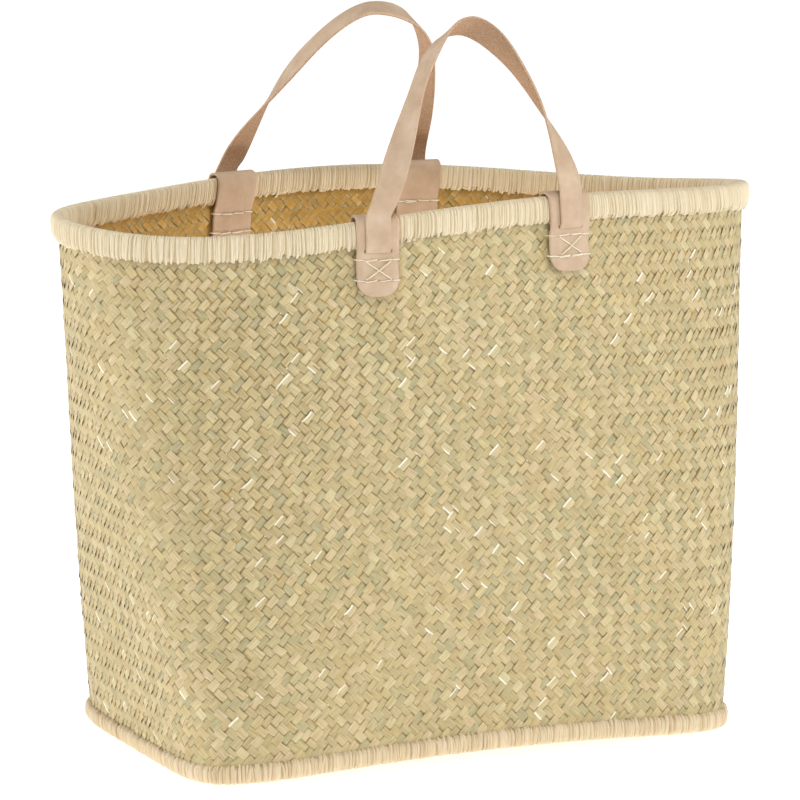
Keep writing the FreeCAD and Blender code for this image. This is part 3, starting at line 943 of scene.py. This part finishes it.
def loop_frames(side_name, phis):
    """Middle line, direction and grain normal of a handle's loop."""
    shape = LOOPS[side_name]
    left, right = STATIONS[side_name + "_left"], STATIONS[side_name + "_right"]

    def centre(phi):
        c = np.cos(phi)
        power = np.where(c > 0, shape["left"], shape["right"])
        share = np.maximum(0.0, np.sin(phi)) ** (2.0 / power)
        starts = [s.point(0.0, STRAP_STAND_OFF, -LEAN_RISE) for s in (left, right)]
        start_x = np.where(c > 0, starts[0][0], starts[1][0])
        x = shape["crown_x"] + (start_x - shape["crown_x"]) * np.abs(c)
        foot_y = starts[0][1] + (starts[1][1] - starts[0][1]) * (1.0 - c) / 2.0
        y = foot_y - shape["side"] * shape["lean"] * share ** LEAN_POWER
        mean_z = (starts[0][2] + starts[1][2]) / 2.0
        own_z = np.where(c > 0, starts[0][2], starts[1][2])
        z = mean_z + (own_z - mean_z) * np.abs(c) ** FOOT_HEIGHT_POWER + shape["height"] * share
        return np.stack([x, y, z], -1), share

    middle, share = centre(phis)
    step = 0.01
    along = unit(centre(phis + step)[0] - centre(phis - step)[0])
    upright = np.sign(np.cos(phis))[:, None] * UP
    along = unit(upright + (along - upright) * smooth(share / LEVEL_FOOT)[:, None])
    radial = unit(np.cross(along, np.array([0.0, -float(shape["side"]), 0.0])))
    radial = radial * np.where(radial[:, 2:3] < 0, -1.0, 1.0)
    roll_start, roll_end = shape["roll_span"]
    roll_share = np.clip((np.degrees(phis) - roll_start) / (roll_end - roll_start), 0.0, 1.0)
    roll = math.radians(shape["roll"]) * np.sin(math.pi * roll_share) ** 2
    turn = (math.pi / 2.0 * smooth(share / TWIST_HEIGHT) + roll)[:, None]
    foot_out = np.where(np.cos(phis)[:, None] > 0, left.out, right.out)
    grain = foot_out * np.cos(turn) + radial * np.sin(turn)
    grain = unit(grain - along * np.sum(grain * along, -1, keepdims=True))
    return middle, along, grain


def strap_grid(middle, along, grain):
    """A strap's middle surface and its normals, from its middle line."""
    across = unit(np.cross(grain, along))
    grid = middle[:, None, :] + across[:, None, :] * STRAP_COLUMNS[None, :, None]
    return grid, np.broadcast_to(grain[:, None, :], grid.shape)


def loop_angles(shape):
    """Angles round a loop, closer together where an arm rises steeply from its foot."""
    low = np.linspace(0.012, 0.15, 10)
    left = np.arcsin(low ** (shape["left"] / 2.0))
    right = math.pi - np.arcsin(low ** (shape["right"] / 2.0))[::-1]
    return np.concatenate([left, np.linspace(left[-1], right[0], 200)[1:-1], right])


def make_strap(side_name):
    """A handle: a sewn tail behind each tab, and one long strap over the loop from tail to tail."""
    middle, along, grain = loop_frames(side_name, loop_angles(LOOPS[side_name]))
    path = curve_through(STRAP_END_PATH, 60)
    split = int(np.argmin(np.abs(path[:, 1] - SPLIT_DEPTH)))
    feet = {}
    for hand in ("left", "right"):
        station = STATIONS[f"{side_name}_{hand}"]
        points = station.point(np.zeros(len(path)), path[:, 0], path[:, 1])
        direction = unit(np.gradient(points, axis=0))
        normal = unit(station.out - direction * (direction @ station.out)[:, None])
        tail = slice(0, split + 1)
        grid, grid_normal = strap_grid(points[tail], direction[tail], normal[tail])
        piece = leather_piece(f"{station.name}_strap_tail", grid, grid_normal, STRAP_THICKNESS, None,
                              open_rows=(split,))
        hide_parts(station.name + "_strap_end")
        hinge = station.point(0.0, DROP_STAND_OFF, DROP_DEPTH)
        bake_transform(piece)
        feet[hand] = (points[split:-1], direction[split:-1], normal[split:-1])
    middle = np.vstack([feet["left"][0], middle, feet["right"][0][::-1]])
    along = np.vstack([feet["left"][1], along, -feet["right"][1][::-1]])
    grain = np.vstack([feet["left"][2], grain, feet["right"][2][::-1]])
    grid, grid_normal = strap_grid(middle, along, grain)
    piece = leather_piece(side_name + "_strap", grid, grid_normal, STRAP_THICKNESS, None,
                          open_rows=(0, len(middle) - 1))
    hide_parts(side_name + "_strap_loop", side_name + "_left_strap_root",
                side_name + "_right_strap_root")
    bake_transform(piece)


# ---- stitching

def tube(path, radius):
    """Flattened, twisted thread along a path of points, as vertices and faces, closed at both ends."""
    sides = THREAD_SIDES
    direction = unit(np.gradient(path, axis=0))
    helper = np.where(np.abs(direction[:, 2:3]) < 0.8, UP, np.array([1.0, 0.0, 0.0]))
    first = unit(np.cross(direction, helper))
    second = np.cross(direction, first)
    verts = []
    for k, (p, a, b) in enumerate(zip(path, first, second)):
        for i in range(sides):
            t = 2.0 * math.pi * i / sides + THREAD_TWIST * k
            verts.append(p + radius * (a * math.cos(t) + b * THREAD_FLATNESS * math.sin(t)))
    faces = []
    for k in range(len(path) - 1):
        for i in range(sides):
            j = (i + 1) % sides
            faces.append([k * sides + i, k * sides + j, (k + 1) * sides + j, (k + 1) * sides + i])
    faces.append(list(range(sides))[::-1])
    faces.append([(len(path) - 1) * sides + i for i in range(sides)])
    return np.array(verts), faces


def dive_at_start(share):
    return STITCH_DIP * np.clip(1.0 - share / STITCH_DIP_SHARE, 0.0, 1.0)


def stitch_path(station, start, end, face, lift=STITCH_LIFT):
    """A stitch from one (along, depth) place to another, diving into the leather at both ends."""
    share = np.linspace(0.0, 1.0, STITCH_STEPS)
    along = start[0] + (end[0] - start[0]) * share
    depth = start[1] + (end[1] - start[1]) * share
    rise = lift * np.sin(math.pi * share) + THREAD_RADIUS * 0.7
    drop = dive_at_start(share) + dive_at_start(1.0 - share)
    return station.point(along, face + np.sign(face) * (rise - drop), depth)


def stitch_piece(name, node, paths, seed):
    verts, faces, grains, tints = [], [], [], []
    start = 0
    random = rng(seed)
    for number, path in enumerate(paths):
        path = path + 0.06 * MM * random.standard_normal(path.shape)
        v, f = tube(path, THREAD_RADIUS * (1.0 + 0.1 * random.standard_normal()))
        faces += [[k + start for k in face] for face in f]
        start += len(v)
        ring, place = np.divmod(np.arange(len(v)), THREAD_SIDES)
        verts.append(v)
        grains.append(np.stack([ring * 0.8 * MM, np.sin(place), np.full(len(v), number * 3.1)], -1))
        tints.append(np.stack([np.full(len(v), 0.4 + 0.5 * random.random()), ring * 0, ring * 0], -1))
    piece = make_piece(name, np.vstack(verts), faces, THREAD, "basket", np.vstack(grains),
                       np.vstack(tints))
    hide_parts(node)


def leather_face(along, inner):
    """Stand-off of the leather's visible face at a place across the tab's lower legs."""
    if inner:
        return TAB_PATH[-1, 0] - TAB_THICKNESS / 2.0
    return TAB_PATH[0, 0] + TAB_THICKNESS / 2.0 - PRESS * float(pressed(along))


def row_paths(station, depth, inner, seed):
    """One row: two stitches between its three holes, some doubled, and one round each edge of the tab."""
    random = rng(seed)
    h = HOLE_SPACING
    edge = station.half_width + 2.0 * MM
    outside = -1.0 if inner else 1.0
    face = leather_face(0.0, inner)
    lean = 0.5 * MM * random.standard_normal(2)
    paths = []
    for a, b in ((-h, 0.0), (0.0, h)):
        start, end = (a + 0.4 * MM, depth + lean[0]), (b - 0.4 * MM, depth + lean[1])
        paths.append(stitch_path(station, start, end, face))
        if random.random() < DOUBLE_STITCH_SHARE:
            start, end = (a + 0.5 * MM, depth + 0.9 * MM), (b - 0.6 * MM, depth + 0.2 * MM)
            paths.append(stitch_path(station, start, end, face))
    for sign in (-1.0, 1.0):
        share = np.linspace(0.0, 1.0, STITCH_STEPS)
        along = sign * (h - 0.3 * MM + (edge - h) * share)
        high = face if inner else face - PRESS * pressed(along)
        over = smooth((np.abs(along) - station.half_width - 0.2 * MM) / (1.6 * MM))
        off = high * (1.0 - over) + outside * PLAIT_FACE * over + outside * THREAD_RADIUS * 0.8
        off = off - outside * dive_at_start(share)
        paths.append(station.point(along, off, depth + sign * 0.4 * MM * share))
    return paths


def make_stitches(station, seed):
    name = station.name
    face = leather_face(0.0, False)
    for row, depth, own_seed in (("upper", UPPER_ROW, seed), ("lower", LOWER_ROW, seed + 1)):
        paths = row_paths(station, depth, False, own_seed)
        stitch_piece(f"{name}_{row}_thread", f"{name}_{row}_stitches", paths, own_seed)
    h = HOLE_SPACING - 0.5 * MM
    high, low = UPPER_ROW + 0.6 * MM, LOWER_ROW - 0.6 * MM
    cross = [stitch_path(station, (-h, high), (h, low), face, lift=0.2 * MM),
             stitch_path(station, (h, high), (-h, low), face, lift=1.3 * MM)]
    stitch_piece(name + "_cross_thread", name + "_cross_stitches", cross, seed + 2)
    inner = row_paths(station, UPPER_ROW, True, seed + 3) + row_paths(station, LOWER_ROW, True, seed + 4)
    stitch_piece(name + "_inner_thread", name + "_inner_stitches", inner, seed + 5)


# ---- stage, light and camera

def make_stage():
    mesh = bpy.data.meshes.new("floor")
    half = FLOOR_HALF
    corners = [(-half, -half, 0), (half, -half, 0), (half, half, 0), (-half, half, 0)]
    mesh.from_pydata(corners, [], [(0, 1, 2, 3)])
    floor = add_object("floor", mesh)
    n = Nodes("studio_floor")
    n.set("Base Color", (0.9, 0.9, 0.9, 1.0))
    n.set("Emission Color", (1.0, 1.0, 1.0, 1.0))
    n.set("Emission Strength", FLOOR_GLOW)
    n.set("Roughness", 0.9)
    n.set("Specular IOR Level", 0.1)
    mesh.materials.append(n.material)


def area_light(name, place, target, size, power):
    light = bpy.data.lights.new(name, "AREA")
    light.shape = "DISK"
    light.size = size
    light.energy = power
    lamp = add_object(name, light)
    lamp.location = place
    lamp.rotation_mode = "QUATERNION"
    lamp.rotation_quaternion = (Vector(target) - Vector(place)).to_track_quat("-Z", "Y")
    return lamp


def make_light():
    world = bpy.data.worlds.new("studio")
    bpy.context.scene.world = world
    world.use_nodes = True
    background = world.node_tree.nodes["Background"]
    background.inputs["Color"].default_value = (1.0, 1.0, 1.0, 1.0)
    background.inputs["Strength"].default_value = WORLD_STRENGTH
    for lamp in LAMPS:
        area_light(*lamp)
    area_light(*INSIDE_LAMP).visible_camera = False
    bpy.context.scene.view_settings.view_transform = "Standard"


def make_camera():
    """A camera at the photo's angle, turned a little so that the basket stands where the photo has it."""
    azimuth, elevation = math.radians(CAMERA_AZIMUTH), math.radians(CAMERA_ELEVATION)
    roll = math.radians(CAMERA_ROLL)
    back = Vector((math.sin(azimuth) * math.cos(elevation), -math.cos(azimuth) * math.cos(elevation),
                   math.sin(elevation)))
    level_right = Vector((math.cos(azimuth), math.sin(azimuth), 0.0))
    level_up = back.cross(level_right)
    right = level_right * math.cos(roll) + level_up * math.sin(roll)
    up = level_up * math.cos(roll) - level_right * math.sin(roll)
    middle = Vector(CAMERA_CENTRE)
    place = middle + back * CAMERA_DISTANCE
    aim = middle - right * AIM_LEFT + up * AIM_ABOVE
    z_axis = (place - aim).normalized()
    x_axis = up.cross(z_axis).normalized()
    y_axis = z_axis.cross(x_axis)
    camera = bpy.data.cameras.new("camera")
    camera.sensor_width = 36.0
    camera.lens = CAMERA_LENS
    camera.clip_end = 200.0
    holder = add_object("camera", camera)
    rotation = Matrix((x_axis, y_axis, z_axis)).transposed().to_4x4()
    holder.matrix_world = Matrix.Translation(place) @ rotation
    bpy.context.scene.camera = holder


# ---- build

for node_name in ("rim_outer_band", "rim_inner_band", "base_cord"):
    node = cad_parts[node_name]
    node.data.materials.clear()
    node.data.materials.append(BUNDLE)

plait_wall()
plait_base()
bind("rim_binding", "rim_wrap", RIM_RAFFIA, RIM_BINDING, 71, 73)
bind("base_binding", "base_wrap", FOOT_RAFFIA, FOOT_BINDING, 91, 97)
for number, station in enumerate(STATIONS.values()):
    make_tab(station, 101 + 7 * number)
    make_stitches(station, 201 + 11 * number)
for side_name in LOOPS:
    make_strap(side_name)
make_stage()
make_light()
make_camera()
